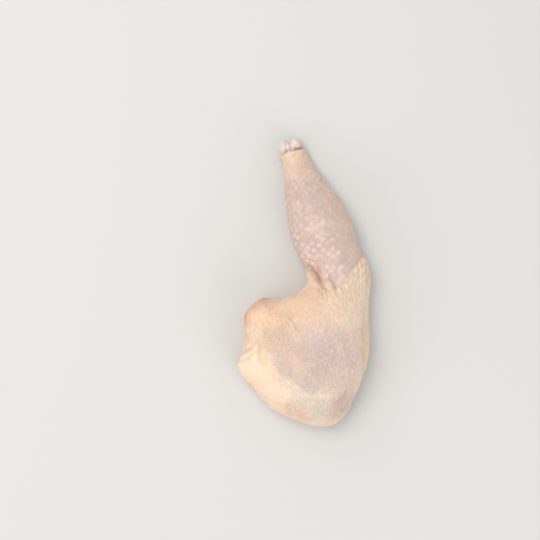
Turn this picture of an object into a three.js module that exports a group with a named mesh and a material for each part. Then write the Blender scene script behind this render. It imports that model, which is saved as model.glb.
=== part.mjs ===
// A raw chicken leg quarter with its skin on, lying on its cut side with the skin up.
// The thigh fills the near half, the knee is at the right, and the drumstick folds away from it.
// Millimetres, +Z up, +Y towards the hock. The origin is under the middle of the footprint.
import * as THREE from "three";

const { clamp, degToRad, lerp, smoothstep } = THREE.MathUtils;

// The thigh, seen from above: its widest outline, from the tail end round by the knee.
const THIGH_OUTLINE = [
  [8.0, -104.2],
  [21.8, -102.2],
  [28.4, -95.4],
  [33.6, -85.0],
  [39.4, -70.6],
  [43.7, -58.0],
  [45.3, -44.8],
  [44.6, -21.7],
  [44.4, -4.2],
  [43.6, 7.5],
  [41.5, 14.5],
  [35.0, 16.5],
  [26.0, 11.0],
  [17.1, 4.9],
  [8.0, 0.0],
  [1.2, -6.8],
  [-4.0, -11.2],
  [-10.0, -14.3],
  [-16.3, -16.2],
  [-28.7, -13.8],
  [-36.2, -18.0],
  [-42.9, -27.6],
  [-41.3, -37.1],
  [-43.8, -52.9],
  [-45.7, -60.8],
  [-44.8, -66.9],
  [-38.9, -73.0],
  [-32.4, -82.1],
  [-21.0, -92.3],
  [-4.0, -100.6],
];
const OUTLINE_STEPS = 200;
const LEAST_OFFSET = 0.05; // keeps a place on the outline's own line from dividing by nothing

// How the thigh's section rounds over from that outline to its top and down to its underside.
const RIM_HEIGHT = 12; // the height at which the thigh is widest
const EDGE_ROLL = 17; // how far in from the outline its edge is still rolled over
const EDGE_FULLNESS = 2.2; // 2 rolls the edge over in a round arc, more in a fuller one
const FLANK_HEIGHT = 23; // the top of the thin fatty flank, before the muscles lift it
const THIGH_SAG = 14; // how far the underside would hang below the rim if it were not pressed flat

// The masses that lift the thigh's top: where each is, its half length, half width, turn and rise.
const MASSES = [
  { name: "thigh muscle", at: [12, -50], reach: [46, 36], turn: 105, rise: 18 },
  { name: "knee end", at: [27, -10], reach: [20, 16], turn: 60, rise: 5 },
  { name: "tail muscle", at: [14, -88], reach: [17, 11], turn: 25, rise: 4 },
  { name: "hip lobe", at: [-30, -26], reach: [13, 11], turn: 20, rise: 4 },
  { name: "flank fat", at: [-28, -70], reach: [26, 12], turn: -48, rise: 2.5 },
  { name: "valley by the fat", at: [-8, -74], reach: [26, 5], turn: -42, rise: -1.8 },
  { name: "dip behind the hip lobe", at: [-24, -42], reach: [14, 7], turn: 20, rise: -2.2 },
];

// The drumstick: its axis from the knee to the hock, and half widths at shares of its length.
const KNEE = [24.5, -3];
const DRUMSTICK_TURN = 20; // degrees that its axis leans to the left of +Y
const DRUMSTICK_LENGTH = 108;
const HALF_WIDTHS = [
  [-0.3, 16],
  [0, 19],
  [0.16, 20.8],
  [0.34, 22],
  [0.52, 19.4],
  [0.7, 13.6],
  [0.83, 10.2],
  [0.92, 10.4],
  [1.0, 11.8],
];
const WIDTH_STEPS = 160;
const FLATNESS = 0.86; // its half height against its half width
const DRUMSTICK_SINK = 2.2; // how far its underside is pressed flat
const HOCK_ROUNDING = 7; // how far the hock's end takes to round off
const KNEE_ROUNDING = 17; // the same for the end that lies inside the thigh

// How softly the two parts run together, in the pit of the knee and at its outer side.
const BLEND_IN_PIT = 4;
const BLEND_AT_KNEE = 8;
const PIT_X = 4;
const OUTER_X = 36;

// The cells that the surface is netted from, and the box of them round the leg.
const CELL = 3.1;
const BOX_LOW = [-54, -111, -4.65];
const BOX_HIGH = [52, 110, 48];
const CELL_EDGE_GAP = 0.1; // the share of a cell that a vertex keeps off its sides, so that no edge is tiny
const FLAT_BELOW = 0.3; // what comes out lower than this is laid flat on the ground

// A closed smooth outline through the points, as a list of [x, y].
function smoothOutline(points, steps) {
  const corners = points.map(([x, y]) => new THREE.Vector3(x, y, 0));
  const curve = new THREE.CatmullRomCurve3(corners, true, "centripetal");
  const places = curve.getSpacedPoints(steps).slice(0, steps);
  return places.map((place) => [place.x, place.y]);
}

// Depth inside an outline: the distance near it, levelling off smoothly in the middle, negative outside.
function softDepth(outline, x, y) {
  let pull = 0;
  let inside = false;
  for (let i = 0; i < outline.length; i++) {
    const [ax, ay] = outline[i];
    const [bx, by] = outline[(i + 1) % outline.length];
    const length = Math.hypot(bx - ax, by - ay);
    const [ux, uy] = [(bx - ax) / length, (by - ay) / length];
    const start = (ax - x) * ux + (ay - y) * uy;
    const end = start + length;
    const off = Math.max(Math.abs((ax - x) * uy - (ay - y) * ux), LEAST_OFFSET);
    pull += (end / Math.hypot(end, off) - start / Math.hypot(start, off)) / (off * off);
    const level = ay > y !== by > y;
    if (level && x < ax + ((y - ay) * (bx - ax)) / (by - ay)) {
      inside = !inside;
    }
  }
  return (inside ? 1 : -1) * Math.sqrt(2 / pull);
}

// The height of the thigh's top where its edge has stopped rolling over.
function topHeight(x, y) {
  let height = FLANK_HEIGHT;
  for (const { at, reach, turn, rise } of MASSES) {
    const angle = degToRad(turn);
    const [dx, dy] = [x - at[0], y - at[1]];
    const along = (dx * Math.cos(angle) + dy * Math.sin(angle)) / reach[0];
    const across = (dy * Math.cos(angle) - dx * Math.sin(angle)) / reach[1];
    height += rise * Math.exp(-(along * along + across * across));
  }
  return height;
}

// The thigh: negative inside, positive outside, roughly in millimetres.
function thighField(depth, top, z) {
  const roll = Math.max(1 - depth / EDGE_ROLL, 0);
  const span = z > RIM_HEIGHT ? top - RIM_HEIGHT : THIGH_SAG;
  const lift = Math.abs(z - RIM_HEIGHT) / span;
  const reach = Math.pow(Math.pow(roll, EDGE_FULLNESS) + Math.pow(lift, EDGE_FULLNESS), 1 / EDGE_FULLNESS);
  return (reach - 1) * EDGE_ROLL;
}

const widthCurve = new THREE.CatmullRomCurve3(
  HALF_WIDTHS.map(([share, half]) => new THREE.Vector3(share * DRUMSTICK_LENGTH, half, 0)),
  false,
  "centripetal",
).getPoints(WIDTH_STEPS);

// The drumstick's half width at a distance along its axis.
function halfWidth(along) {
  let i = 1;
  while (i < widthCurve.length - 1 && widthCurve[i].x < along) {
    i++;
  }
  const [before, after] = [widthCurve[i - 1], widthCurve[i]];
  const share = clamp((along - before.x) / (after.x - before.x), 0, 1);
  return lerp(before.y, after.y, share);
}

// The drumstick: a tapered round of flattened sections about a straight axis.
function drumstickField(x, y, z) {
  const angle = degToRad(DRUMSTICK_TURN);
  const [dx, dy] = [x - KNEE[0], y - KNEE[1]];
  const along = dy * Math.cos(angle) - dx * Math.sin(angle);
  const across = dx * Math.cos(angle) + dy * Math.sin(angle);
  const half = halfWidth(along);
  const tall = half * FLATNESS;
  const past = Math.max(along - DRUMSTICK_LENGTH + HOCK_ROUNDING, 0) / HOCK_ROUNDING;
  const before = Math.max(-along, 0) / KNEE_ROUNDING;
  const level = (z - tall + DRUMSTICK_SINK) / tall;
  return (Math.hypot(across / half, level, past, before) - 1) * tall;
}

// The smaller of two values, run together over a distance.
function softMin(a, b, reach) {
  const h = Math.max(reach - Math.abs(a - b), 0) / reach;
  return Math.min(a, b) - (h * h * reach) / 4;
}

// The leg's field at every corner of the cells, and how many corners there are each way.
function sampleLeg() {
  const outline = smoothOutline(THIGH_OUTLINE, OUTLINE_STEPS);
  const counts = BOX_LOW.map((low, axis) => Math.ceil((BOX_HIGH[axis] - low) / CELL) + 1);
  const values = new Float64Array(counts[0] * counts[1] * counts[2]);
  for (let j = 0; j < counts[1]; j++) {
    for (let i = 0; i < counts[0]; i++) {
      const [x, y] = [BOX_LOW[0] + i * CELL, BOX_LOW[1] + j * CELL];
      const depth = softDepth(outline, x, y);
      const top = topHeight(x, y);
      const blend = lerp(BLEND_IN_PIT, BLEND_AT_KNEE, smoothstep(x, PIT_X, OUTER_X));
      for (let k = 0; k < counts[2]; k++) {
        const z = BOX_LOW[2] + k * CELL;
        const meat = softMin(thighField(depth, top, z), drumstickField(x, y, z), blend);
        values[(k * counts[1] + j) * counts[0] + i] = Math.max(meat, -z);
      }
    }
  }
  return { values, counts };
}

// The twelve edges of a cell, as pairs of its corners.
function cellEdges() {
  const corners = [0, 1, 2, 3, 4, 5, 6, 7].map((n) => new THREE.Vector3(n & 1, (n >> 1) & 1, n >> 2));
  const edges = [];
  corners.forEach((from, m) => {
    for (const to of corners.slice(m + 1)) {
      if (from.manhattanDistanceTo(to) === 1) {
        edges.push([from, to]);
      }
    }
  });
  return edges;
}

// A closed surface where the field is zero: one vertex in each cell that it crosses, joined by quads.
function netSurface({ values, counts }) {
  const [nx, ny, nz] = counts;
  const at = (i, j, k) => (k * ny + j) * nx + i;
  const edges = cellEdges();
  const positions = [];
  const vertexOf = new Map();
  for (let k = 0; k < nz - 1; k++) {
    for (let j = 0; j < ny - 1; j++) {
      for (let i = 0; i < nx - 1; i++) {
        const sum = new THREE.Vector3();
        let crossings = 0;
        for (const [from, to] of edges) {
          const valueFrom = values[at(i + from.x, j + from.y, k + from.z)];
          const valueTo = values[at(i + to.x, j + to.y, k + to.z)];
          if (valueFrom < 0 !== valueTo < 0) {
            sum.add(from.clone().lerp(to, valueFrom / (valueFrom - valueTo)));
            crossings++;
          }
        }
        if (crossings > 0) {
          sum.divideScalar(crossings).clampScalar(CELL_EDGE_GAP, 1 - CELL_EDGE_GAP);
          sum.add(new THREE.Vector3(i, j, k)).multiplyScalar(CELL);
          vertexOf.set(at(i, j, k), positions.length / 3);
          positions.push(BOX_LOW[0] + sum.x, BOX_LOW[1] + sum.y, BOX_LOW[2] + sum.z);
        }
      }
    }
  }

  const steps = [at(1, 0, 0), at(0, 1, 0), at(0, 0, 1)];
  const indices = [];
  for (const here of vertexOf.keys()) {
    for (let axis = 0; axis < 3; axis++) {
      const inside = values[here] < 0;
      if (inside !== values[here + steps[axis]] < 0) {
        const [u, v] = [steps[(axis + 1) % 3], steps[(axis + 2) % 3]];
        const quad = [here, here - u, here - u - v, here - v].map((cell) => vertexOf.get(cell));
        if (!inside) {
          quad.reverse();
        }
        const [a, b, c, d] = quad;
        indices.push(a, b, c, a, c, d);
      }
    }
  }
  const geometry = new THREE.BufferGeometry();
  geometry.setAttribute("position", new THREE.Float32BufferAttribute(positions, 3));
  geometry.setIndex(indices);
  return geometry;
}

// Lays the underside flat on the ground, and puts the middle of the footprint on the origin.
function settle(geometry) {
  const places = geometry.getAttribute("position");
  for (let n = 0; n < places.count; n++) {
    if (places.getZ(n) < FLAT_BELOW) {
      places.setZ(n, 0);
    }
  }
  geometry.computeBoundingBox();
  const middle = geometry.boundingBox.getCenter(new THREE.Vector3());
  geometry.translate(-middle.x, -middle.y, 0);
  geometry.computeVertexNormals();
  return geometry;
}

const rawSkin = new THREE.MeshStandardMaterial({ color: 0xe9ccb2, roughness: 0.45, metalness: 0 });
const leg = new THREE.Mesh(settle(netSurface(sampleLeg())), rawSkin);
leg.name = "leg_quarter";

const legQuarter = new THREE.Group();
legQuarter.add(leg);
export default legQuarter;
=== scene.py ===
# A raw chicken leg quarter with its skin on, lying on its cut side with the skin up.
# Lengths in the script are millimetres in the frame of the solids, and metres where Blender takes them.
import math
import random

import bmesh
import bpy
import numpy as np
from mathutils import Euler, Matrix, Vector, noise


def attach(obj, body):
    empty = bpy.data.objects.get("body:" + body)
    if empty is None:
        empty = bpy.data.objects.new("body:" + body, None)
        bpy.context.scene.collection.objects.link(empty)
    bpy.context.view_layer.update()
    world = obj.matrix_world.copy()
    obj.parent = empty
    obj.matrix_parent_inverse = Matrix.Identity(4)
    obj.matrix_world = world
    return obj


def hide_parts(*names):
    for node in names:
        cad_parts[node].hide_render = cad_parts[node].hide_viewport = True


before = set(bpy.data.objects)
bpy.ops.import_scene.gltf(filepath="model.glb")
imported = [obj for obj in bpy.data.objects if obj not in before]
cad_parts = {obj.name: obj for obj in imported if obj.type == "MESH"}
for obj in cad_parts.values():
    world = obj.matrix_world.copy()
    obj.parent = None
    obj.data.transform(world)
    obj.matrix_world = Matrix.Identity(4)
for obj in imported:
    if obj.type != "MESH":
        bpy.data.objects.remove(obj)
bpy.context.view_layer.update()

MM = 0.001  # a millimetre, in metres

# The camera looks straight down from a metre above the floor, with the hock at the top of its picture.
# It stands to the left of the leg, a little nearer the hock than its middle.
CAMERA_AT = (-24.3, 7.6, 1000.0)
RIM_HEIGHT = 12.0  # the height at which the thigh is widest
PIXELS_A_MM = 1.43  # at that height
FRAME_PIXELS = 540
SENSOR_WIDTH = 36.0
camera = bpy.data.objects.new("camera", bpy.data.cameras.new("camera"))
camera.data.sensor_width = SENSOR_WIDTH
camera.data.lens = SENSOR_WIDTH * PIXELS_A_MM * (CAMERA_AT[2] - RIM_HEIGHT) / FRAME_PIXELS
camera.location = Vector(CAMERA_AT) * MM
bpy.context.scene.collection.objects.link(camera)
bpy.context.scene.camera = camera


# The body: thigh, knee and drumstick in one smooth closed form, which the skin and the meat start from.
# It is the solid of the leg with its small flat faces joined into quads, evened out and divided.
EVENING_ROUNDS = 4
SWELL = 0.35  # what the evening takes off the form is given back


def smooth_body(levels):
    """The leg's solid as a finely divided smooth mesh."""
    body = bmesh.new()
    body.from_mesh(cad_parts["leg_quarter"].data)
    bmesh.ops.remove_doubles(body, verts=body.verts, dist=0.01 * MM)
    bmesh.ops.join_triangles(
        body, faces=body.faces, angle_face_threshold=math.pi, angle_shape_threshold=math.pi
    )
    for _ in range(EVENING_ROUNDS):
        bmesh.ops.smooth_vert(
            body, verts=body.verts, factor=0.5, use_axis_x=True, use_axis_y=True, use_axis_z=True
        )
    coarse = bpy.data.meshes.new("coarse")
    body.to_mesh(coarse)
    body.free()
    shape = bpy.data.objects.new("body", coarse)
    bpy.context.scene.collection.objects.link(shape)
    divide = shape.modifiers.new("divide", "SUBSURF")
    divide.levels = divide.render_levels = levels
    fine = plain_mesh(shape)
    spots = points_of(fine)
    spots += normals_of(fine) * SWELL
    spots[:, 2] = np.maximum(spots[:, 2], 0)
    put_points(fine, spots)
    return fine


def plain_mesh(shape):
    """What the modifiers of an object make of it, as a mesh of its own. The object is removed."""
    graph = bpy.context.evaluated_depsgraph_get()
    made = bpy.data.meshes.new_from_object(shape.evaluated_get(graph))
    bpy.data.objects.remove(shape)
    return made


def points_of(mesh):
    """The places of a mesh's vertices, in millimetres."""
    flat = np.empty(len(mesh.vertices) * 3)
    mesh.vertices.foreach_get("co", flat)
    return flat.reshape(-1, 3) / MM


def normals_of(mesh):
    """The outward direction at each vertex."""
    flat = np.empty(len(mesh.vertices) * 3)
    mesh.vertex_normals.foreach_get("vector", flat)
    return flat.reshape(-1, 3)


def put_points(mesh, spots):
    """Puts the vertices at places given in millimetres."""
    mesh.vertices.foreach_set("co", (spots * MM).ravel())
    mesh.update()


def step(low, high, value):
    """0 below the low end, 1 above the high one, and smooth between them."""
    t = np.clip((value - low) / (high - low), 0, 1)
    return t * t * (3 - 2 * t)


def wander(spots, size, seed):
    """Smooth noise from about -1 to 1 whose lumps are about the size given."""
    shift = Vector((seed * 17.3, seed * 5.1, seed * 9.7))
    return np.array([noise.noise(Vector(p) / size + shift) for p in spots.tolist()])


# The skin: thin and mauve over the muscles, thick and cream where it has fat under it.
# It is one piece drawn over the whole leg. It ends short of the hock, and round the bare meat beneath.
skin_mesh = smooth_body(levels=2)
spots = points_of(skin_mesh)
outward = normals_of(skin_mesh)
x, y, z = spots.T

# The drumstick's straight line from the knee to the hock, which its skin is laid along.
KNEE = np.array([24.4, -0.5])
SHANK_TURN = math.radians(20)
SHANK_LENGTH = 108.0
SHANK_HEIGHT = (16.0, 8.0)  # of its middle line, at the knee and at the hock
shank_line = np.array([-math.sin(SHANK_TURN), math.cos(SHANK_TURN)])
shank_side = np.array([math.cos(SHANK_TURN), math.sin(SHANK_TURN)])


def along_shank(spots):
    """How far along the drumstick each spot is, and how far across and above its middle line."""
    flat = spots[:, :2] - KNEE
    along = flat @ shank_line
    middle = np.interp(along, [0, SHANK_LENGTH], SHANK_HEIGHT)
    return along, flat @ shank_side, spots[:, 2] - middle


def smooth_loop(corners, steps=6):
    """A closed smooth line through the corners."""
    here = np.array(corners, float)
    a, b, c, d = (np.roll(here, shift, 0)[:, None, :] for shift in (1, 0, -1, -2))
    t = (np.arange(steps) / steps)[None, :, None]
    line = 2 * b + (c - a) * t + (2 * a - 5 * b + 4 * c - d) * t**2 + (3 * b - a - 3 * c + d) * t**3
    return (line / 2).reshape(-1, 2)


def nearest(line, spots):
    """How far each spot is from an open line seen from above, and how far along the line, from 0 to 1."""
    line = np.array(line, float)
    lengths = np.hypot(*np.diff(line, axis=0).T)
    starts = np.concatenate([[0], np.cumsum(lengths)]) / lengths.sum()
    best = np.full(len(spots), np.inf)
    share = np.zeros(len(spots))
    for i, length in enumerate(lengths):
        way = (line[i + 1] - line[i]) / length
        run = np.clip((spots[:, :2] - line[i]) @ way, 0, length)
        off = np.hypot(*(spots[:, :2] - line[i] - run[:, None] * way).T)
        closer = off < best
        best[closer] = off[closer]
        share[closer] = starts[i] + (run[closer] / length) * (starts[i + 1] - starts[i])
    return best, share


def depth_inside(corners, spots):
    """How far each spot lies inside a smooth closed line seen from above, negative outside it."""
    line = smooth_loop(corners)
    ahead = np.roll(line, -1, 0)
    off, _ = nearest(np.vstack([line, line[:1]]), spots)
    inside = np.zeros(len(spots), bool)
    for (ax, ay), (bx, by) in zip(line, ahead):
        if ay == by:
            continue
        level = (ay > spots[:, 1]) != (by > spots[:, 1])
        inside ^= level & (spots[:, 0] < ax + (spots[:, 1] - ay) * (bx - ax) / (by - ay))
    return np.where(inside, off, -off)


# Where the thigh muscle shows through the skin, and where the drumstick's thin skin starts.
MUSCLE_EDGE = [
    (-21.1, -42), (-22.1, -54), (-18.6, -63), (-10.6, -68.5), (-3.1, -75), (2.4, -76.5), (11.4, -76.5),
    (21.4, -76.5), (31.4, -73), (37.4, -58), (37.4, -38), (29.4, -24), (13.4, -22), (-0.6, -26), (-12.6, -31),
]
SHANK_EDGE = [
    (3.4, 7.5), (8.6, 5.2), (12.8, 2.8), (16.4, 0.9), (18.7, -2.2), (19.4, -5.6), (20.6, -6.0), (21.8, -3.4),
    (25.1, -0.9), (32, 6.7), (40.2, 16.0), (59.4, 36), (39.4, 130), (-50.6, 130), (-60.6, 40), (-20.6, 5),
]
COLLAR_WIDTH = 30.0
ripple = wander(spots, 9, 1)
fine_ripple = wander(spots, 3.5, 2)
muscle_depth = depth_inside(MUSCLE_EDGE, spots) + 1.6 * ripple + 0.7 * fine_ripple
shank_depth = depth_inside(SHANK_EDGE, spots) + 0.8 * ripple + 0.5 * fine_ripple
upper = step(-0.25, 0.2, outward[:, 2])
# Both edges are sharp in some places. The muscle's fades where it is vague, the drumstick's where it is hazy.
vague = 0.5 * step(-70, -54, y) * step(0, -16, x) + step(-52, -28, y) + step(4, 28, x)
muscle = step(-0.8 - 8 * vague, 1.6 + 10 * vague, muscle_depth)
hazy = step(8, -2, x) * step(24, 14, z) + step(30, 36, x) * step(19, 9, z)
shank_inside = shank_depth + 3 * hazy * ripple
shank = step(-0.8 - 6 * hazy, 1.2 + 6 * hazy, shank_inside)
collar = step(-COLLAR_WIDTH, -2, shank_depth) * (1 - shank) * step(12, 22, x)
collar *= step(-0.7, 0.3, outward[:, 2])

# Creases, furrows and ridges of the skin: the line of each seen from above, its half width,
# how far it sinks in, less than 0 for a ridge, and how dark the shade painted into it is.
CREASES = {
    "pit of the knee": ([(1.4, 8.4), (6.4, 4.0), (8.4, 0.9), (11.4, -3.2)], 1.8, 3.2, 0.85),
    "long tail of the pit": ([(9.6, -1), (12.1, -3.9), (14.2, -5.4), (17, -7.4)], 0.7, 0.9, 0.6),
    "short tail of the pit": ([(9.2, -1.4), (11, -4.4), (12.6, -5.9), (15, -7)], 0.55, 0.5, 0.5),
    "left fold of the pit": ([(9.2, -3.4), (9, -6.5), (8.8, -10.5)], 0.6, 0.5, 0.5),
    "middle fold of the pit": ([(10.4, -5.6), (11, -8), (12.2, -11.2)], 0.6, 0.5, 0.5),
    "long fold of the pit": ([(13.2, -6), (14.2, -9.5), (15.2, -13.5)], 0.6, 0.4, 0.36),
    "ridge by the pit": ([(5.4, 0), (-0.6, -5), (-8.6, -10), (-16.6, -17)], 4.5, -1.3, 0),
    "low crease of the lobe": ([(-32.2, -25.8), (-30.6, -28), (-28.6, -31)], 0.5, 0.4, 0.42),
    "high crease of the lobe": ([(-28, -15), (-26.8, -16.6), (-25.4, -18.4)], 0.5, 0.3, 0.5),
    "middle crease of the lobe": ([(-24.8, -22.2), (-23.2, -24), (-21.4, -26.4)], 0.55, 0.4, 0.52),
    "short crease of the lobe": ([(-26.4, -26.4), (-25, -28.2), (-24, -30)], 0.5, 0.3, 0.36),
    "long furrow": ([(-13, -22), (-11, -25.2), (-8.8, -28.4), (-6, -33), (-5.2, -36)], 0.7, 0.7, 0.34),
    "short furrow": ([(-13.8, -27), (-12.2, -30), (-10, -34)], 0.5, 0.3, 0.38),
    "crease of the upper thigh": ([(-11.1, -19.4), (-10.2, -21.2), (-9.2, -22.6)], 0.5, 0.25, 0.36),
    "step under the fat": ([(-21.6, -50), (-18.6, -62), (-10.6, -68), (-2.6, -75), (5.4, -77)], 2.4, 0.35, 0),
    "upper fold of the left edge": ([(-42.1, -36), (-40.1, -39.5), (-39.2, -43)], 0.8, 0.6, 0.2),
    "lower fold of the left edge": ([(-43.2, -40.5), (-41.6, -44), (-40.4, -48)], 0.8, 0.7, 0.22),
    "upper ridge of the left edge": ([(-44, -48.6), (-41.2, -46.4), (-38.4, -43.6)], 0.9, -0.7, 0),
    "groove of the left edge": ([(-45.2, -51.6), (-40.8, -48.8), (-36.4, -45.8)], 0.7, 0.7, 0.18),
    "lower ridge of the left edge": ([(-45.6, -54.4), (-41.2, -52), (-37.2, -49.8)], 1.1, -0.8, 0),
    "furrow of the flank": ([(-45.4, -57), (-40.8, -54.6), (-36.4, -51.2), (-33, -47.6)], 0.8, 0.5, 0.16),
    "long vein in the fat": ([(-33, -45.5), (-32.2, -52), (-29.2, -60), (-28.1, -63)], 0.8, 0.25, 0.1),
    "short vein in the fat": ([(-27.6, -46.5), (-26.6, -51.5), (-26.2, -55)], 0.7, 0.2, 0.08),
    "upper fold of the outer edge": ([(41.9, 10), (43, 4), (42.6, -6), (41.6, -18)], 1.1, 0.6, 0.1),
    "lower fold of the outer edge": ([(40.4, -14), (41, -26), (39.8, -38), (39.4, -50)], 1.0, 0.5, 0.1),
}
SHANK_THINNER = 1.1  # how far the skin of the drumstick lies under that of the thigh
FAT_SWELLS = 0.5  # how far the fat band stands up from the muscle
rise = np.zeros(len(spots))
crease_shade = np.zeros(len(spots))
for line, half_width, depth, dark in CREASES.values():
    off, share = nearest(line, spots + 0.5 * ripple[:, None])
    profile = np.exp(-((off / half_width) ** 2)) * np.sin(math.pi * np.clip(share, 0.06, 0.94)) ** 0.6
    rise -= depth * profile
    crease_shade = np.maximum(crease_shade, dark * profile)
rise -= SHANK_THINNER * shank * step(-30, 10, x)
rise += FAT_SWELLS * (1 - muscle) * (1 - shank) * step(-30, -50, y)
# Lumps all over, weaker on the muscle, then folds along the steep sides.
rise += 0.5 * wander(spots, 17, 3) + 0.3 * wander(spots, 7, 4) * (1 - 0.5 * muscle)
edge = step(0.8, 0.25, outward[:, 2]) * step(2, 7, z)
edge_folds = wander(spots * (1, 1, 0.45), 4.2, 7) * edge * (0.35 + 0.65 * step(-20, -34, x))
spots += outward * (rise * upper + 0.9 * edge_folds + 0.3 * wander(spots, 3.0, 8))[:, None]

# The hock's end of the skin is a sleeve: its lip rolls in, and past it the form becomes a cup.
LIP_AT = 96.0
LIP_LENGTH = 5.0  # how much of the solid's end is drawn together into the rolled lip
LIP_ROLL = 0.9  # how far the roll stands out
LIP_SHARE = 0.3  # of the way from the end's rim to its middle, which the rolled lip takes
LIP_NARROWS = 0.14  # by this share of its radius
CUP_DEPTH = 7.0
HOCK_HEIGHT = 7.0  # of the sleeve's middle
HOCK_HALF = (10.2, 8.6)  # its half width and half height
along, across, above = along_shank(spots)
hock_up = z - HOCK_HEIGHT
ragged_lip = LIP_AT + 1.5 * wander(np.stack([across, hock_up, 0 * z], 1), 5.0, 13)
radius = np.maximum(np.hypot(across, hock_up), 0.01)
beyond = along > ragged_lip
inward = LIP_SHARE * np.clip((along - ragged_lip) / LIP_LENGTH, 0, 1)
inward += (1 - LIP_SHARE) * np.clip(1 - radius / HOCK_HALF[0], 0, 1)
lip_radius = 1 / np.hypot(across / radius / HOCK_HALF[0], hock_up / radius / HOCK_HALF[1])
rolled = np.clip(inward / LIP_SHARE, 0, 1)
new_radius = lip_radius * (1 - LIP_NARROWS * rolled**2) * np.clip((1 - inward) / (1 - LIP_SHARE), 0, 1)
new_along = ragged_lip + LIP_ROLL * np.sin(math.pi * rolled) - CUP_DEPTH * step(0.28, 0.6, inward)
new_spots = np.column_stack(
    [
        KNEE + new_along[:, None] * shank_line + (across * new_radius / radius)[:, None] * shank_side,
        HOCK_HEIGHT + hock_up * new_radius / radius,
    ]
)
spots[beyond] = new_spots[beyond]
past = beyond * step(0.16, 0.3, inward)

# Beneath, the skin stops at a line round the bare meat, and along the cut flank a little above the floor.
BARE_EDGE = [
    (8.4, -89), (20.4, -85), (28.4, -70), (32.4, -50), (31.4, -28), (25.4, -13), (11.4, -9),
    (-4.6, -17), (-16.6, -25), (-27.6, -24), (-42.6, -27), (-52.6, -40), (-54.6, -62), (-44.6, -78),
    (-26.6, -82), (-8.6, -87),
]
LIP_HEIGHT = (1.5, 5.0)  # of the skin's cut edge above the floor: at the ends of the flank, and along it
LIP_LIFT = {"at": -58.5, "half_width": 4.0, "height": 2.5}  # of that edge, over a lump of fat
BARE_DEPTH = 3.0  # of the hollow in the skin that the meat fills
HIP_AT = (-27.6, -38.0, 5.2)  # the ball of the thigh bone, which has a hollow round it
HIP_HOLLOW = {"radius": 7.5, "depth": 3.2}
bare_depth = depth_inside(BARE_EDGE, spots) + 1.3 * wander(spots, 6, 5)
lip_height = np.interp(step(0, 9, bare_depth), [0, 1], LIP_HEIGHT)
lift = LIP_LIFT["height"] * np.exp(-(((y - LIP_LIFT["at"]) / LIP_LIFT["half_width"]) ** 2))
lip_height += lift * step(-36, -42, x)
bare = step(-0.5, 0.5, bare_depth) * step(0.7, -0.7, z + 1.2 * wander(spots, 8, 6) - lip_height)


def hip_hollow(spots):
    """How far the hollow round the hip's ball sinks each spot."""
    off = np.hypot(*(spots[:, :2] - HIP_AT[:2]).T) / HIP_HOLLOW["radius"]
    return HIP_HOLLOW["depth"] * np.exp(-(off**4))


spots -= outward * (bare * (BARE_DEPTH + 1.3 * hip_hollow(spots)))[:, None]
spots[:, 2] = np.maximum(spots[:, 2], 0)
put_points(skin_mesh, spots)

# The skin's colours as they look under the lamps: a ground, and what is laid over it in turn.
LAMP_LEVEL = 1.12  # how bright the lamps make a matt white that faces up
GROUND = (238, 209, 184)
# Soft ovals: the middle, the half length and half width, the turn in degrees, the colour and its share.
PATCHES = {
    "fat band": ((-24.6, -73), (42, 15), -42, (250, 218, 192), 1.0),
    "fat by the flank": ((-38.6, -60), (13, 10), 0, (255, 225, 194), 0.9),
    "ridge": ((-6.6, -10), (24, 9), 35, (236, 194, 166), 0.9),
    "upper thigh": ((4, -19), (26, 12), 10, (231, 191, 162), 0.9),
    "pale patch under the brow": ((-13, -18.5), (14, 6), 15, (251, 214, 180), 0.9),
    "pale side of the lobe": ((-31, -27), (11, 9), 20, (241, 203, 170), 0.85),
    "pink of the lobe": ((-32, -16), (12, 6), 40, (232, 180, 152), 0.75),
    "peach of the lobe": ((-21, -26), (8, 12), 20, (238, 185, 144), 0.85),
    # Greyish painted shade lies along the lobe's lower side and above the fat below it.
    "grey painted shade under the lobe": ((-20, -36.5), (14, 7), 8, (209, 174, 147), 0.85),
    "painted shade above the fat": ((-25.5, -43.5), (12, 7), 0, (222, 190, 164), 0.8),
    "left edge": ((-41.6, -44), (7, 10), 0, (238, 196, 164), 0.8),
    "knee": ((33.4, -2), (18, 20), -30, (219, 193, 172), 0.85),
    "outer edge": ((42.4, -32), (6, 32), 0, (225, 200, 168), 0.75),
    "grey patch under the muscle": ((6.4, -86), (23, 12), -8, (201, 190, 177), 0.8),
    "low band": ((-6.6, -90), (14, 6), -20, (222, 188, 165), 0.85),
    # Painted light lifts the shade on the steep outer edge beside the knee.
    "painted light by the outer edge": ((41, -11), (7, 16), 0, (236, 216, 194), 0.65),
    "lower right": ((26.4, -83), (16, 8.5), 53, (194, 162, 150), 0.9),
    "lower edge": ((37, -69), (7, 14), -24, (238, 214, 190), 0.85),
    "tail end": ((9.4, -102), (26, 4), 5, (236, 210, 186), 0.8),
}
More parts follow.
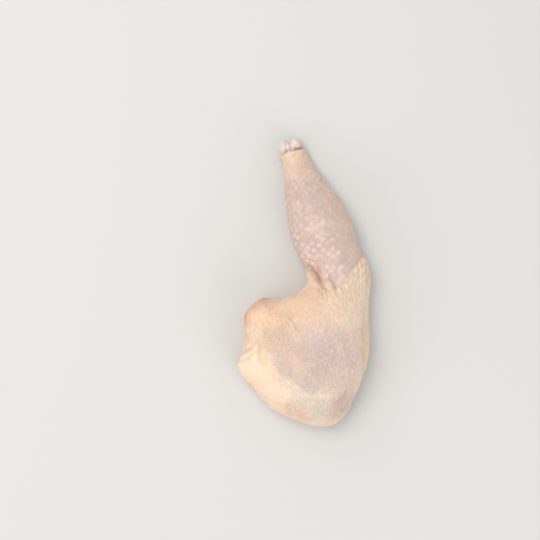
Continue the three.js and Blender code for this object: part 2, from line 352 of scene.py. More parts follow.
# Soft lines: the line seen from above, how far its colour reaches, the colour and its share.
STRIPES = {
    "rim of the lobe": ([(-45.2, -28), (-43.6, -21), (-36.6, -12), (-28.6, -9.5)], 9, (216, 150, 124), 0.9),
    # The brow of the lobe is painted lighter to lift the shade on its steep top edge.
    "painted light on the lobe's brow": ([(-30.6, -9), (-22.6, -8.6), (-12.6, -11)], 4, (255, 196, 162), 0.85),
    "inner side of the fat": ([(-26, -54), (-22, -63), (-16, -70)], 4, (244, 208, 176), 0.6),
    "long yellow vein": ([(-32.6, -46), (-31.4, -53), (-29, -58)], 3, (242, 200, 148), 0.5),
    "short yellow vein": ([(-27.1, -47), (-26.6, -55)], 2, (242, 204, 160), 0.5),
    # The stripes on the two ridges of the left edge are partly the fat's cream and partly a painted highlight
    # on their tops.
    "cream and painted highlight of the lower ridge": ([(-45, -54), (-41, -51.8), (-37.4, -49.8)], 2, (255, 236, 212), 0.5),
    "cream and painted highlight of the upper ridge": ([(-43.4, -48), (-41, -46.2), (-38.6, -43.8)], 1.5, (252, 222, 196), 0.6),
    "pale strip before the vein": ([(-33.6, -45.6), (-34.4, -50), (-35, -54)], 2, (255, 236, 208), 0.6),
    "pale edge of the fat": ([(-16.6, -68), (-8.6, -74), (-0.6, -79)], 4.5, (222, 204, 187), 0.85),
    "pale band under the muscle": ([(-0.6, -78.5), (7.4, -79.5), (15.4, -78.5)], 2.5, (236, 212, 192), 0.45),
    # The tongue of skin on the drumstick carries a painted highlight along it.
    "painted highlight on the drumstick's tongue": ([(23.5, 9), (24.4, 3), (23.2, -1)], 2.4, (232, 208, 192), 0.75),
    "tan fold of the edge": ([(38.5, -33), (41, -45), (40.6, -54), (39, -64)], 2.6, (212, 180, 142), 0.6),
    "collar's cream": ([(38.8, 4.2), (34.7, -1.3), (29.2, -6.1), (23.7, -11.6)], 6.5, (242, 214, 188), 0.6),
    "peach beside the pit": ([(13, -1), (16.4, -4), (19, -9)], 4, (232, 202, 176), 0.7),
    # Painted shade darkens the drumstick's side where it runs down into the pit of the knee.
    "painted shade by the pit": ([(5, 11), (9.4, 5), (12.5, 0.5)], 5.5, (186, 148, 128), 0.6),
    "purple tip": ([(15.6, 2.6), (18.4, 0), (20, -4)], 2.8, (196, 170, 164), 0.75),
}
MUSCLE_COLOUR = (201, 178, 170)
MUSCLE_VEILS = {
    "dark middle": ((12, -54), (18, 14), 0, (190, 167, 159), 0.5),
    "warm left side": ((-14, -44), (15, 22), 15, (217, 184, 158), 0.55),
    "warm top": ((-1, -26), (21, 11), 0, (228, 188, 155), 0.6),
    "cream of the outer side": ((27, -24), (15, 13), -20, (244, 220, 192), 0.46),
}
MUSCLE_RIM = (204, 191, 178)
SIDE_COLOUR = (235, 205, 180)  # of the thigh's sides under its rim
SHANK_COLOUR = (204, 175, 165)
SHANK_BEIGE = (212, 186, 168)
HOCK_COLOUR = (232, 202, 170)
CREASE_SHADE_COLOUR = (158, 116, 92)
HIDDEN_COLOUR = (206, 132, 118)


def linear(colour):
    """A colour given as 0 to 255 on a screen, as the light that it stands for."""
    c = np.array(colour, float) / 255
    return np.where(c <= 0.04045, c / 12.92, ((c + 0.055) / 1.055) ** 2.4)


def laid_over(tint, colour, share):
    """The tint with a colour laid over it by a share for each vertex."""
    return tint + (linear(colour) / LAMP_LEVEL - tint) * share[:, None]


def patched(tint, patches):
    """The tint with soft oval patches laid over it in turn."""
    for middle, (half_length, half_width), degrees, colour, share in patches.values():
        turn = math.radians(degrees)
        flat = spots[:, :2] - middle + 2.5 * np.stack([ripple, fine_ripple], 1)
        lengthwise = (flat @ [math.cos(turn), math.sin(turn)]) / half_length
        crosswise = (flat @ [-math.sin(turn), math.cos(turn)]) / half_width
        tint = laid_over(tint, colour, share * step(1.25, 0.35, np.hypot(lengthwise, crosswise)))
    return tint


tint = patched(np.tile(linear(GROUND) / LAMP_LEVEL, (len(spots), 1)), PATCHES)
tint = patched(laid_over(tint, MUSCLE_COLOUR, 0.92 * muscle), MUSCLE_VEILS)
# A pale rim lies just inside the muscle's lower edge.
rim = np.exp(-(((muscle_depth - 2.0) / 1.8) ** 2)) * step(-42, -52, y) * step(30, 20, x)
tint = laid_over(tint, MUSCLE_RIM, 0.6 * rim)
tint = laid_over(tint, SIDE_COLOUR, 0.75 * step(0.3, -0.35, outward[:, 2] + 0.2 * ripple))
tint = laid_over(tint, SHANK_COLOUR, shank)
tint = laid_over(tint, SHANK_BEIGE, 0.7 * shank * step(2, 14, across))
tint = laid_over(tint, HOCK_COLOUR, 0.8 * shank * step(70, 95, along))
for line, reach, colour, share in STRIPES.values():
    off, _ = nearest(line, spots + 0.8 * ripple[:, None])
    tint = laid_over(tint, colour, share * step(reach, 0.2 * reach, off) * upper)
# The shade in the creases and furrows is painted into the colour here.
tint = laid_over(tint, CREASE_SHADE_COLOUR, crease_shade)
tint = laid_over(tint, HIDDEN_COLOUR, 0.8 * np.maximum(bare, past))


def keep(mesh, name, values):
    """Keeps a number, a place or a colour for each vertex on the mesh."""
    kinds = {1: ("FLOAT", "value"), 3: ("FLOAT_VECTOR", "vector"), 4: ("FLOAT_COLOR", "color")}
    kind, field = kinds[values.size // len(values)]
    mesh.attributes.new(name, kind, "POINT").data.foreach_set(field, values.astype(np.float32).ravel())


def fan(spots, middle, reach, turn=0.0):
    """A place across and along the strands that run out from a middle, true to size at the reach."""
    flat = spots[:, :2] - middle
    angle = (np.arctan2(flat[:, 0], -flat[:, 1]) - turn + math.pi) % math.tau - math.pi
    return np.stack([angle * reach, np.hypot(*flat.T), spots[:, 2]], 1)


SHANK_RADIUS = 17.0  # what a turn round the drumstick is measured by
SHANK_POINT = (20.3, -4.1)  # where the drumstick's thin skin ends in the knee
turned = np.arctan2(across, above)
around = turned * SHANK_RADIUS
# The bumps leave a narrow strip bare beneath. They are weaker on the outer side by the knee and towards
# the hock, and fade out at the point.
bumpy = shank * step(3.0, 2.6, np.abs(turned)) * (1 - 0.9 * step(3, 9, across) * step(70, 30, along))
bumpy *= 1 - 0.45 * step(26, 60, along)
bumpy *= step(4, 10, np.hypot(x - SHANK_POINT[0], y - SHANK_POINT[1]))
calm = step(0.9, 2.2, np.abs(shank_inside - 0.2))  # 0 where the strands of the thigh and the drumstick meet
close = calm * (0.3 + 0.7 * np.clip(step(-14, 26, x) + 0.35 * muscle - 0.5 * shank, 0, 1))
ROWS_TURN = math.radians(30)  # of the rows of bumps, from the drumstick's line
rows_along = along * math.cos(ROWS_TURN) - around * math.sin(ROWS_TURN)
rows_across = along * math.sin(ROWS_TURN) + around * math.cos(ROWS_TURN)
THIGH_FAN = {"middle": (8, 60), "reach": 110}
COLLAR_FAN = {"middle": (38, -30), "reach": 32, "turn": math.pi}
down_shank = np.stack([across, along, above], 1)
# What the relief and the colours read at each vertex.
skin_marks = {
    "tint": np.column_stack([tint, np.ones(len(tint))]),
    "lay": np.stack([rows_along, rows_across, np.zeros(len(spots))], 1),
    "strand": np.where(shank[:, None] > 0.5, down_shank, fan(spots, **THIGH_FAN)),
    "rib": fan(spots, **COLLAR_FAN),
    "mauve": np.maximum(muscle, shank),
    "bumpy": bumpy,
    "shank": shank,
    "collar": collar,
    "calm": calm,
    "close": close,
    "hidden": np.maximum(bare, past),
}
for name, values in skin_marks.items():
    keep(skin_mesh, name, values)


class Wire:
    """A value in a node tree. Arithmetic on wires adds the nodes that work it out."""

    def __init__(self, net, socket):
        self.net = net
        self.socket = socket

    def out(self, name):
        """Another output of the node that this wire comes from."""
        outputs = self.socket.node.outputs
        return Wire(self.net, next(s for s in outputs if name in (s.identifier, s.name)))

    def __add__(self, other):
        return self.net.math("ADD", self, other)

    def __sub__(self, other):
        return self.net.math("SUBTRACT", self, other)

    def __rsub__(self, other):
        return self.net.math("SUBTRACT", other, self)

    def __mul__(self, other):
        return self.net.math("MULTIPLY", self, other)

    def __truediv__(self, other):
        return self.net.math("DIVIDE", self, other)

    __radd__ = __add__
    __rmul__ = __mul__


class Net:
    """A node tree, of a material or of a shape, to which nodes are added by their type."""

    def __init__(self, tree):
        self.tree = tree

    def node(self, kind, settings=None, sockets=None):
        """Adds a node, sets its settings and then its sockets, and gives its first output."""
        node = self.tree.nodes.new(kind)
        for name, value in (settings or {}).items():
            setattr(node, name, value)
        for name, value in (sockets or {}).items():
            if isinstance(name, int):
                socket = node.inputs[name]
            else:
                socket = next(s for s in node.inputs if name in (s.identifier, s.name))
            if isinstance(value, Wire):
                self.tree.links.new(value.socket, socket)
            else:
                socket.default_value = value
        return Wire(self, node.outputs[0]) if node.outputs else node

    def math(self, operation, *values):
        """A Math node on numbers or wires."""
        return self.node("ShaderNodeMath", {"operation": operation}, dict(enumerate(values)))

    def smooth(self, low, high, value):
        """0 at the low end, 1 at the high one, and smooth between them."""
        ends = {"Value": value, "From Min": low, "From Max": high}
        return self.node("ShaderNodeMapRange", {"interpolation_type": "SMOOTHSTEP"}, ends)

    def blend(self, share, under, over):
        """One colour laid over another by a share. A colour is a wire, or 0 to 255 as on a screen."""
        under, over = (c if isinstance(c, Wire) else (*linear(c), 1) for c in (under, over))
        ends = {"Factor_Float": share, "A_Color": under, "B_Color": over}
        return self.node("ShaderNodeMix", {"data_type": "RGBA"}, ends).out("Result_Color")

    def layered(self, colour, layers):
        """A colour with others laid over it in turn, each by its share."""
        for share, over in layers:
            colour = self.blend(share, colour, over)
        return colour

    def stretched(self, place, size):
        """A place divided by a length, or by one each way, so that a pattern of size 1 takes it."""
        sizes = size if isinstance(size, tuple) else (size,) * 3
        scale = tuple(1 / length for length in sizes)
        return self.node("ShaderNodeVectorMath", {"operation": "MULTIPLY"}, {0: place, 1: scale})

    def lumps(self, place, size, detail, rough=0.5):
        """Noise from 0 to 1 about a half, with lumps of the size given."""
        sockets = {"Vector": self.stretched(place, size), "Scale": 1.0, "Detail": detail, "Roughness": rough}
        return self.node("ShaderNodeTexNoise", None, sockets)

    def cells(self, place, size, dimensions="3D", randomness=1.0):
        """The distance from the nearest of scattered points, which lie about the size given apart."""
        sockets = {"Vector": self.stretched(place, size), "Scale": 1.0, "Randomness": randomness}
        return self.node("ShaderNodeTexVoronoi", {"voronoi_dimensions": dimensions}, sockets)

    def kept(self, name, output="Fac"):
        """What the mesh keeps for each vertex under a name, in a material."""
        return self.node("ShaderNodeAttribute", {"attribute_name": name}).out(output)


# The patterns of the skin, which its relief and its colours share.
BUMP_SPACING = 4.4
PORE_SIZES = (1.92, 3.0, 2.4)  # across and along the strands, and up
PEBBLE_SIZES = (1.1, 2.4, 1.8)
RIB_SIZES = (1.35, 4.6, 6.0)
RIM_FOLD_SIZES = (3.6, 3.6, 1.0)  # level both ways, and up


def goose_bumps(net, lay):
    """Round bumps in slanting rows, where feathers grew: 1 on a tip and 0 between them. Then their pores."""
    off = net.cells(lay, BUMP_SPACING, "2D", 0.45)
    uneven = net.smooth(0.34, 0.62, net.lumps(lay, 8.0, 2.0)) * 0.85 + 0.15
    uneven = uneven * (net.lumps(lay, 3.4, 1.0) * 1.6 + 0.2)
    return net.smooth(0.54, 0.12, off) * uneven, net.smooth(0.13, 0.05, off) * uneven


def pores(net, strand):
    """Small raised pores all over the thigh, a little drawn out along the strands: 1 on a tip."""
    uneven = net.smooth(0.35, 0.6, net.lumps(strand, 8.0, 1.0))
    return net.smooth(0.62, 0.1, net.cells(strand, PORE_SIZES)) * uneven


def pebbles(net, strand):
    """The close fine wrinkling of the whole skin, drawn out along the strands, from 0 to 1."""
    return net.lumps(strand, PEBBLE_SIZES, 1.5, 0.6)


def rim_folds(net, place):
    """Fine level folds, from 0 to 1, as the thick skin wrinkles round the rim of the thigh."""
    return net.lumps(place, tuple(size * MM for size in RIM_FOLD_SIZES), 3.0, 0.65)


def ribs(net, rib):
    """Broken raised ribs that fan over the collar of loose skin beside the drumstick."""
    return net.smooth(0.42, 0.68, net.lumps(rib, RIB_SIZES, 0.5, 0.4))


# How far each pattern stands out of the skin's smooth form.
RISES = {"Bump rise": 0.45, "Rib rise": 0.6, "Pore rise": 0.12, "Pebble rise": 0.24}


def skin_relief(material):
    """A tree that raises the skin's patterns out of its smooth form."""
    tree = bpy.data.node_groups.new("skin relief", "GeometryNodeTree")
    tree.interface.new_socket("Geometry", in_out="INPUT", socket_type="NodeSocketGeometry")
    for name in RISES:
        tree.interface.new_socket(name, in_out="INPUT", socket_type="NodeSocketFloat")
    tree.interface.new_socket("Geometry", in_out="OUTPUT", socket_type="NodeSocketGeometry")
    net = Net(tree)
    entry = net.node("NodeGroupInput")

    def kept(name, kind="FLOAT"):
        return net.node("GeometryNodeInputNamedAttribute", {"data_type": kind}, {"Name": name})

    shank, collar, hidden = kept("shank"), kept("collar"), kept("hidden")
    tips, _ = goose_bumps(net, kept("lay", "FLOAT_VECTOR"))
    height = tips * entry.out("Bump rise") * kept("bumpy")
    height = height + ribs(net, kept("rib", "FLOAT_VECTOR")) * entry.out("Rib rise") * collar
    strand = kept("strand", "FLOAT_VECTOR")
    height = height + pores(net, strand) * entry.out("Pore rise") * (1 - shank) * kept("calm")
    height = height + (pebbles(net, strand) - 0.5) * entry.out("Pebble rise") * kept("close")
    height = height * (1 - hidden)
    facing = net.node("GeometryNodeInputNormal")
    offset = net.node("ShaderNodeVectorMath", {"operation": "SCALE"}, {"Vector": facing, "Scale": height})
    moved = net.node("GeometryNodeSetPosition", None, {"Geometry": entry.out("Geometry"), "Offset": offset})
    whole = net.node("GeometryNodeRealizeInstances", None, {"Geometry": moved})
    dressed = net.node("GeometryNodeSetMaterial", None, {"Geometry": whole, "Material": material})
    net.node("NodeGroupOutput", None, {"Geometry": dressed})
    return tree


def new_material(name):
    """A material with its shader, and the net that its nodes are added to."""
    material = bpy.data.materials.new(name)
    material.use_nodes = True
    shader = material.node_tree.nodes["Principled BSDF"]
    return material, Net(material.node_tree), shader


def feed(net, shader, **wires):
    """Links wires to the shader's sockets, whose spaces are written as underscores."""
    for name, wire in wires.items():
        net.tree.links.new(wire.socket, shader.inputs[name.replace("_", " ")])


def wet_flesh(shader, radius, scale, coat_roughness):
    """The soft glow and thin wet film that skin, meat, fat and cartilage share."""
    shader.inputs["Subsurface Weight"].default_value = 0.35
    shader.inputs["Subsurface Radius"].default_value = radius
    shader.inputs["Subsurface Scale"].default_value = scale
    shader.inputs["IOR"].default_value = 1.38
    shader.inputs["Coat Roughness"].default_value = coat_roughness
    shader.inputs["Coat IOR"].default_value = 1.34


def skin_material():
    """Moist skin: mottled, finely wrinkled, paler on its bumps, with a thin uneven film of wet."""
    material, net, shader = new_material("raw skin")
    place = net.node("ShaderNodeTexCoord").out("Object")
    shank, collar, mauve = net.kept("shank"), net.kept("collar"), net.kept("mauve")
    bumpy, calm, close = net.kept("bumpy"), net.kept("calm"), net.kept("close")
    strand = net.kept("strand", "Vector")
    tips, holes = (part * bumpy for part in goose_bumps(net, net.kept("lay", "Vector")))
    ridges = ribs(net, net.kept("rib", "Vector")) * collar
    specks = pores(net, strand) * (1 - shank) * calm
    pebble = pebbles(net, strand)
    folds = (rim_folds(net, place) - 0.5) * (1 - mauve) * (1 - collar) + 0.5
    strands = (net.lumps(strand, (1.3, 7, 7), 3.0, 0.6) - 0.5) * calm + 0.5
    grain = (net.lumps(strand, (0.7, 1.1, 0.9), 3.0, 0.6) - 0.5) * calm + 0.5
    dust = net.lumps(place, 0.9 * MM, 3.0, 0.6)
    mottle = net.lumps(place, 7 * MM, 4.0, 0.6)
    clouds = net.lumps(place, 13 * MM, 2.0)
    layers = [
        (net.smooth(0.5, 0.8, mottle) * 0.22, (232, 182, 158)),
        (net.smooth(0.5, 0.2, mottle) * 0.2, (250, 226, 198)),
        (net.smooth(0.5, 0.75, strands) * 0.22 * (1 - shank), (246, 226, 206)),
        (net.smooth(0.5, 0.25, strands) * 0.12 * (1 - shank), (204, 172, 152)),
        (net.smooth(0.5, 0.28, pebble) * close * 0.14, (196, 158, 140)),
        (net.smooth(0.5, 0.72, pebble) * close * 0.16, (248, 232, 212)),
        (net.smooth(0.5, 0.3, grain) * 0.2, (190, 152, 132)),
        (net.smooth(0.5, 0.7, grain) * 0.24, (252, 238, 220)),
        (net.smooth(0.5, 0.3, dust) * 0.14, (196, 156, 136)),
        (net.smooth(0.5, 0.7, dust) * 0.14, (252, 238, 220)),
        (net.smooth(0.5, 0.7, clouds) * mauve * 0.22, (204, 178, 178)),
        (net.smooth(0.5, 0.3, clouds) * 0.2, (240, 214, 182)),
        (net.smooth(0.5, 0.3, folds) * 0.15, (206, 160, 134)),
        (net.smooth(0.5, 0.7, folds) * 0.16, (255, 240, 218)),
        (tips * 0.52, (240, 222, 212)),
        (holes * 0.5, (206, 160, 142)),
        # The ribs' cream is brightened into a painted highlight on their crests, and painted shade fills the
        # gaps between them.
        (ridges * 0.36, (250, 228, 200)),
        ((1 - ridges) * collar * 0.24, (204, 168, 140)),
        (specks * (close * 0.18 + 0.04), (246, 230, 208)),
    ]
    colour = net.layered(net.kept("tint", "Color"), layers)
    height = strands * 0.7 + pebble * 0.6 * close + grain * 0.6 + dust * 0.4 + specks * 0.4
    height = height + tips * 0.4 - holes * 0.5 + ridges * 0.6 + folds * 0.7
    relief = net.node("ShaderNodeBump", None, {"Strength": 0.8, "Distance": 0.6 * MM, "Height": height})
    roughness = 0.34 + mottle * 0.14 + grain * 0.1 - tips * 0.06
    coat = net.smooth(0.25, 0.75, mottle) * 0.6 + 0.2
    feed(net, shader, Base_Color=colour, Roughness=roughness, Coat_Weight=coat, Normal=relief)
    wet_flesh(shader, (1.0, 0.42, 0.25), 2.4 * MM, 0.16)
    return material


def placed(name, mesh, material):
    """Puts a finished mesh into the leg as a smooth piece with its material."""
    mesh.materials.clear()
    mesh.materials.append(material)
    for face in mesh.polygons:
        face.use_smooth = True
    piece = bpy.data.objects.new(name, mesh)
    bpy.context.scene.collection.objects.link(piece)
    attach(piece, "root")
    return piece


smooth_skin = bpy.data.objects.new("smooth skin", skin_mesh)
bpy.context.scene.collection.objects.link(smooth_skin)
skin_paint = skin_material()
raise_relief = smooth_skin.modifiers.new("relief", "NODES")
raise_relief.node_group = skin_relief(skin_paint)
for socket in raise_relief.node_group.interface.items_tree:
    if socket.in_out == "INPUT" and socket.name in RISES:
        raise_relief[socket.identifier] = RISES[socket.name] * MM
skin_mesh = plain_mesh(smooth_skin)
spots = points_of(skin_mesh)
spots[:, 2] = np.maximum(spots[:, 2], 0)
put_points(skin_mesh, spots)
skin = placed("skin", skin_mesh, skin_paint)
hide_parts("leg_quarter")

# The bare meat beneath, where the thigh was cut from the back: bundles of dark meat with seams of fat.
# It is a slab that fills the hollow inside the skin's cut edge, and shows along the cut flank too.
# For each muscle, the line along its middle and how pale it is.
MUSCLES = {
    "along the bone": ([(-20, -36), (0, -27), (22, -13)], 0.35),
    "upper": ([(-44, -31), (-26, -27), (-12, -22)], 0.8),
    "inner": ([(-48, -50), (-14, -46), (8, -38), (20, -29)], 0.1),
    "broad lower": ([(-40, -64), (-6, -60), (14, -50), (27, -38)], 0.55),
    "rear": ([(-8, -76), (14, -66), (26, -56), (32, -44)], 0.2),
    "tip": ([(4, -88), (30, -72)], 0.75),
    "corner of the flank": ([(-44, -76), (-24, -82)], 0.9),
}
MEAT_INSET = 1.1  # how far it lies under where the skin's outer face would be
MEAT_TUCKED = 4.0  # how far it runs on under the skin past the cut edge
MEAT_DIVES = 2.5  # how much deeper it lies there
MEAT_THICKNESS = 4.0
CLEFT_DEPTH = 1.6  # of the groove between two muscles
CLEFT_HALF = 3.0  # its half width
FIBRE_SIZES = (1.6, 12, 8)  # across, along and up
FIBRE_SPREAD = 0.004  # how much the fibres draw together in a millimetre
MUSCLES_APART = 40  # so that no two have the same grain
meat_mesh = smooth_body(levels=2)
spots = points_of(meat_mesh)
outward = normals_of(meat_mesh)
shown = np.minimum(depth_inside(BARE_EDGE, spots), (LIP_HEIGHT[1] + 1 - spots[:, 2]) * 2)
strayed = spots + 2.4 * wander(spots, 11, 9)[:, None] + 0.6 * wander(spots, 3.5, 10)[:, None]
offs = np.array([nearest(line, strayed)[0] for line, _ in MUSCLES.values()])
owner = offs.argmin(0)
two_nearest = np.sort(offs, 0)[:2]
cleft = (two_nearest[1] - two_nearest[0]) / 2
strands = np.zeros((len(spots), 3))
tone = np.zeros(len(spots))
for i, (line, paleness) in enumerate(MUSCLES.values()):
    line = np.array(line, float)
    way = (line[-1] - line[0]) / np.hypot(*(line[-1] - line[0]))
    flat = spots[:, :2] - line.mean(0)
    lengthwise, crosswise = flat @ way, flat @ [-way[1], way[0]]
    spread = crosswise * (1 + FIBRE_SPREAD * lengthwise)
    laid = np.stack([spread, lengthwise, spots[:, 2] + MUSCLES_APART * i], 1)
    strands[owner == i] = laid[owner == i]
    tone[owner == i] = paleness
fibres = wander(strands * [1 / size for size in FIBRE_SIZES], 1.0, 11)
groove = CLEFT_DEPTH * np.exp(-((cleft / CLEFT_HALF) ** 2)) * (0.6 + 0.4 * wander(spots, 12, 25))
sink = MEAT_INSET + groove + 0.2 * fibres + 0.4 * wander(spots, 9, 12)
sink += hip_hollow(spots)
sink += MEAT_DIVES * step(-0.5, -3.5, shown)
spots -= outward * sink[:, None]
put_points(meat_mesh, spots)
keep(meat_mesh, "cleft", cleft)
keep(meat_mesh, "tone", tone)
keep(meat_mesh, "strand", strands)
slab = bmesh.new()
slab.from_mesh(meat_mesh)
slab.verts.ensure_lookup_table()
outside = [v for v, depth in zip(slab.verts, shown) if depth < -MEAT_TUCKED]
bmesh.ops.delete(slab, geom=outside, context="VERTS")
slab.to_mesh(meat_mesh)
slab.free()


def meat_material():
    """Raw dark meat: each muscle red to pink along its own fibres, with pale sheaths and fat between them."""
    material, net, shader = new_material("raw dark meat")
    place = net.node("ShaderNodeTexCoord").out("Object")
    strand = net.kept("strand", "Vector")
    cleft, tone = net.kept("cleft"), net.kept("tone")
    fibres = net.lumps(strand, (0.7, 11, 6), 3.0, 0.6)
    bundles = net.lumps(strand, (3.2, 26, 9), 1.0)
    clouds = net.lumps(place, 11 * MM, 3.0, 0.55)
    ragged = net.lumps(place, 4.5 * MM, 4.0, 0.55)
    sheath = net.smooth(0.46, 0.72, clouds + (ragged - 0.5) * 0.25)
    between = net.smooth(0.05, 0.0, net.math("ABSOLUTE", bundles - 0.5)) * 0.5
    reach = net.lumps(place, 9 * MM, 1.0) * 6.0 - 2.2
    seam = net.smooth(1.0, 0.25, (cleft + (ragged - 0.5) * 1.2) / (net.math("MAXIMUM", reach, 0.0) + 1.0))
    seam = seam * (net.smooth(-0.4, 1.0, reach) * 0.6 + 0.15)
    layers = [
        (tone * 0.55, (214, 156, 140)),
        (net.smooth(0.5, 0.25, clouds) * 0.55, (156, 76, 74)),
        (sheath * 0.6, (232, 196, 186)),
        (between, (226, 176, 160)),
        (seam, (234, 204, 176)),
    ]
    colour = net.layered(net.blend(net.smooth(0.3, 0.7, fibres), (176, 98, 92), (204, 134, 122)), layers)
    height = fibres + between + seam * 0.6 + clouds
    relief = net.node("ShaderNodeBump", None, {"Strength": 0.5, "Distance": 0.4 * MM, "Height": height})
    roughness = 0.3 + fibres * 0.15
    feed(net, shader, Base_Color=colour, Roughness=roughness, Coat_Weight=clouds * 0.6, Normal=relief)
    wet_flesh(shader, (1.0, 0.35, 0.25), 2.0 * MM, 0.15)
    return material


meat = bpy.data.objects.new("meat", meat_mesh)
bpy.context.scene.collection.objects.link(meat)
thicken = meat.modifiers.new("thicken", "SOLIDIFY")
thicken.thickness = MEAT_THICKNESS * MM
thicken.offset = -1
placed("thigh_meat", plain_mesh(meat), meat_material())

# The hock: two round knobs of wet cartilage with a groove between them, where the foot was cut off.
# They stand in the skin's sleeve, with the stumps of the tendons at their sides.
KNOB_SIZES = (3.1, 5.6, 5.9)
BRIDGE_SIZES = (3.4, 5.2, 5.0)
# Each ball of it: the place along, across and above the drumstick's middle line, the half sizes
# across, along and up, and the turn.
HOCK_BALLS = {
    "left knob": ((101.4, -4.6, -0.9), KNOB_SIZES, -0.16),
    "right knob": ((101.0, 4.6, -0.9), KNOB_SIZES, 0.16),
    "left of the groove": ((99.8, -1.6, -0.5), BRIDGE_SIZES, 0),
    "right of the groove": ((99.6, 1.8, -0.5), BRIDGE_SIZES, 0),
    "root in the sleeve": ((91.0, 0.0, -1.2), (6.6, 12.0, 5.4), 0),
    "left bump": ((96.0, -6.2, 0.2), (1.9, 3.2, 2.6), 0),
    "right bump": ((95.6, 6.0, -1.6), (2.0, 3.4, 2.6), 0),
}
TENDONS = [(-1.6, 3.9, 1.3), (1.4, 3.7, 1.0), (-5.9, 0.2, 0.9)]  # across, above and half width


def fused(name, balls, cell, rounds=6):
    """Balls run together into one closed smooth mesh: the middle, half sizes and turn about Z of each."""
    heap = bmesh.new()
    for middle, half_sizes, turn in balls:
        place = Matrix.LocRotScale(Vector(middle) * MM, Euler((0, 0, turn)), Vector(half_sizes) * MM)
        bmesh.ops.create_icosphere(heap, subdivisions=4, radius=1.0, matrix=place)
    mesh = bpy.data.meshes.new(name)
    heap.to_mesh(mesh)
    heap.free()
    shape = bpy.data.objects.new(name, mesh)
    bpy.context.scene.collection.objects.link(shape)
    melt = shape.modifiers.new("melt", "REMESH")
    melt.mode = "VOXEL"
    melt.voxel_size = cell * MM
    even = shape.modifiers.new("even", "SMOOTH")
    even.factor = 0.5
    even.iterations = rounds
    return plain_mesh(shape)


def on_shank(along, across, above):
    """The place of a spot that is given along, across and above the drumstick's middle line."""
    flat = KNEE + along * shank_line + across * shank_side
    return (*flat, np.interp(along, [0, SHANK_LENGTH], SHANK_HEIGHT) + above)


hock_balls = [(on_shank(*at), sizes, SHANK_TURN + turn) for at, sizes, turn in HOCK_BALLS.values()]
knuckle_mesh = fused("knuckle", hock_balls, cell=0.45)
spots = points_of(knuckle_mesh)
dents = 0.35 * wander(spots, 3.5, 17) + 0.14 * wander(spots, 1.4, 18)
put_points(knuckle_mesh, spots + normals_of(knuckle_mesh) * dents[:, None])
spots = points_of(knuckle_mesh)
knob_along, knob_across, _ = along_shank(spots)
stain = step(99.0, 96.0, knob_along + 1.6 * wander(spots, 2.5, 14) + 0.8 * wander(spots, 1.2, 19))
stain = np.maximum(stain, 0.5 * step(2.0, 0.3, np.abs(knob_across + 0.8 * wander(spots, 3, 15))))
keep(knuckle_mesh, "stain", stain)


def cartilage_material():
    """Wet cartilage: bluish white where it is smooth, pink and red where flesh still clings to it."""
    material, net, shader = new_material("wet cartilage")
    place = net.node("ShaderNodeTexCoord").out("Object")
    clouds = net.lumps(place, 3.5 * MM, 4.0, 0.6)
    threads = net.lumps(place, (1.2 * MM, 4 * MM, 1.2 * MM), 3.0)
    stain = net.kept("stain")
    colour = net.blend(net.smooth(0.3, 0.7, clouds), (202, 200, 198), (226, 206, 184))
    colour = net.blend(net.smooth(0.52, 0.7, clouds) * 0.55, colour, (220, 168, 152))
    flesh = net.blend(net.smooth(0.4, 0.6, threads), (182, 108, 98), (218, 168, 154))
    colour = net.blend(stain * (threads * 0.5 + 0.6), colour, flesh)
    height = clouds + threads * stain
    relief = net.node("ShaderNodeBump", None, {"Strength": 0.4, "Distance": 0.4 * MM, "Height": height})
    feed(net, shader, Base_Color=colour, Roughness=0.24 + clouds * 0.14, Normal=relief)
    wet_flesh(shader, (1.0, 0.7, 0.6), 2.0 * MM, 0.12)
    shader.inputs["Coat Weight"].default_value = 0.4
    return material


cartilage = cartilage_material()
placed("hock_knuckle", knuckle_mesh, cartilage)
tendon_balls = [
    (on_shank(LIP_AT + lift, side, up), (half_width * share, 3.0, 0.7), SHANK_TURN)
    for side, up, half_width in TENDONS
    for lift, share in ((-6.0, 0.8), (-3.0, 1.0), (0.0, 0.9))
]
tendon_mesh = fused("tendons", tendon_balls, cell=0.35, rounds=3)
spots = points_of(tendon_mesh)
put_points(tendon_mesh, spots + normals_of(tendon_mesh) * (0.4 * wander(spots, 1.1, 20))[:, None])
keep(tendon_mesh, "stain", np.clip(0.5 + 0.5 * wander(spots, 2.0, 21), 0, 1))
placed("tendon_stumps", tendon_mesh, cartilage)

# The hip: the ball of the thigh bone, which came out of its socket, shows in the bare meat beneath.
# It is capped with cartilage, stained where its ligament tore off and where flesh clings to its neck.
HIP_BALLS = {
    "ball": (HIP_AT, (5.6, 5.3, 5.0), 0.4),
    "neck": ((-23.5, -36.0, 7.5), (5.0, 4.0, 3.6), 0.5),
}
hip_mesh = fused("hip ball", HIP_BALLS.values(), cell=0.45)
spots = points_of(hip_mesh)
from_tip = np.hypot(*(spots[:, :2] - HIP_AT[:2]).T)
neck_stain = step(3.6, 5.4, from_tip + wander(spots, 2.5, 16))
keep(hip_mesh, "stain", np.maximum(neck_stain, step(1.4, 0.6, from_tip) * 0.7))
placed("hip_ball", hip_mesh, cartilage)

# The fat: a soft lumpy cream and yellow layer along the cut edge of the flank, under the skin's lip.
# One small yellow lump of it hangs out past the thigh's side.
FAT_BAND = (2.4, 5.6)  # how high it lies
FAT_ENDS = (-80, -31)  # from where to where along the flank
FAT_RIGHT_END = -18
FAT_LOWEST = 0.3
FAT_SUNK = 1.3  # how far the middles of its lumps lie under the skin's outer face
FAT_SIZES = (0.9, 1.9)  # the least and the greatest half size of a lump
FAT_NODULE = [(-45.2, -57.4, 8.0), (-45.8, -59.2, 7.6), (-45.6, -61.2, 7.8)]


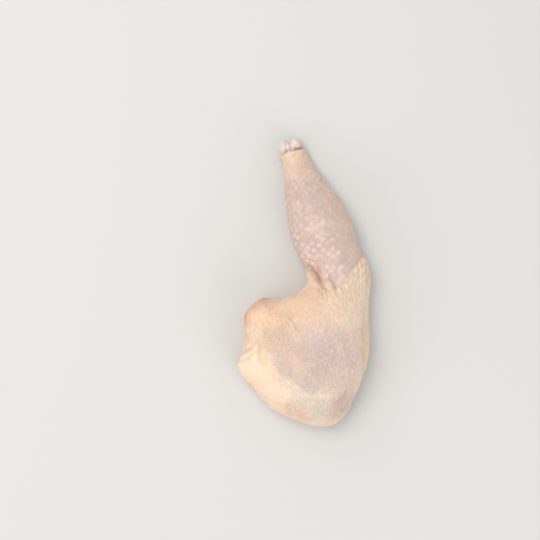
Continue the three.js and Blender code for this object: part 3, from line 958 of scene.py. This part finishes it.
def fat_material():
    """Raw poultry fat: cream to yellow in small grains, soft and shiny."""
    material, net, shader = new_material("raw fat")
    place = net.node("ShaderNodeTexCoord").out("Object")
    clouds = net.lumps(place, 5 * MM, 2.0)
    grains = 1 - net.cells(place, 1.3 * MM)
    colour = net.blend(net.smooth(0.35, 0.65, clouds), (236, 204, 142), (246, 224, 184))
    relief = net.node("ShaderNodeBump", None, {"Strength": 0.6, "Distance": 0.4 * MM, "Height": grains})
    feed(net, shader, Base_Color=colour, Roughness=0.28 + clouds * 0.14, Normal=relief)
    wet_flesh(shader, (1.0, 0.7, 0.3), 2.5 * MM, 0.15)
    shader.inputs["Coat Weight"].default_value = 0.3
    return material


chance = random.Random(7)
body_mesh = smooth_body(levels=1)
spots, outward = points_of(body_mesh), normals_of(body_mesh)
bpy.data.meshes.remove(body_mesh)
in_band = (spots[:, 2] > FAT_BAND[0]) & (spots[:, 2] < FAT_BAND[1]) & (spots[:, 0] < FAT_RIGHT_END)
in_band &= (spots[:, 1] > FAT_ENDS[0]) & (spots[:, 1] < FAT_ENDS[1]) & (wander(spots, 9, 24) > -0.25)
fat_balls = []
for place in (spots - FAT_SUNK * outward)[in_band]:
    size = chance.uniform(*FAT_SIZES)
    fat_balls.append((place, [size * chance.uniform(0.8, 1.2) for _ in range(3)], chance.uniform(0, 3)))
for place in FAT_NODULE:
    fat_balls.append((place, (1.3, 1.6, 1.5), chance.uniform(-0.3, 0.3)))
fat_mesh = fused("fat", fat_balls, cell=0.4, rounds=3)
spots = points_of(fat_mesh)
spots += normals_of(fat_mesh) * (0.3 * wander(spots, 1.8, 22) + 0.12 * wander(spots, 0.9, 23))[:, None]
spots[:, 2] = np.maximum(spots[:, 2], FAT_LOWEST)
put_points(fat_mesh, spots)
placed("flank_fat", fat_mesh, fat_material())

# The studio: a plain pale floor, a large soft lamp over the leg, weaker ones at its left, back and right,
# and a pale sky. Its lengths are in metres.
FLOOR_HALF = 3.0
FLOOR_DROP = 0.00005  # how far the floor lies under the leg
floor_corners = [
    (a * FLOOR_HALF, b * FLOOR_HALF, -FLOOR_DROP) for a, b in ((-1, -1), (1, -1), (1, 1), (-1, 1))
]
floor_mesh = bpy.data.meshes.new("floor")
floor_mesh.from_pydata(floor_corners, [], [(0, 1, 2, 3)])
floor = bpy.data.objects.new("floor", floor_mesh)
bpy.context.scene.collection.objects.link(floor)
floor_paint, _, floor_shader = new_material("pale floor")
floor_shader.inputs["Base Color"].default_value = (*linear((206, 204, 200)), 1)
floor_shader.inputs["Roughness"].default_value = 0.7
floor_mesh.materials.append(floor_paint)

# Square lamps that face the leg: where each is, its size, its watts and its colour.
LAMPS = {
    "top lamp": ((-0.45, 0.35, 1.3), 0.8, 9.15, (1.0, 0.985, 0.96)),
    "left lamp": ((-0.85, -0.55, 0.5), 0.5, 1.9, (1.0, 0.99, 0.97)),
    "back lamp": ((-0.7, 1.0, 0.75), 0.4, 1.8, (1.0, 0.99, 0.97)),
    "side lamp": ((0.7, -0.8, 0.6), 0.7, 4.2, (0.97, 0.98, 1.0)),
}
for name, (at, size, watts, colour) in LAMPS.items():
    lamp = bpy.data.lights.new(name, "AREA")
    lamp.size = size
    lamp.energy = watts
    lamp.color = colour
    holder = bpy.data.objects.new(name, lamp)
    holder.location = at
    holder.rotation_euler = (-Vector(at)).to_track_quat("-Z", "Y").to_euler()
    bpy.context.scene.collection.objects.link(holder)
world = bpy.data.worlds.new("sky")
bpy.context.scene.world = world
world.use_nodes = True
sky = world.node_tree.nodes["Background"]
sky.inputs["Color"].default_value = (0.96, 0.98, 1.0, 1)
sky.inputs["Strength"].default_value = 0.7
bpy.context.scene.view_settings.view_transform = "Standard"
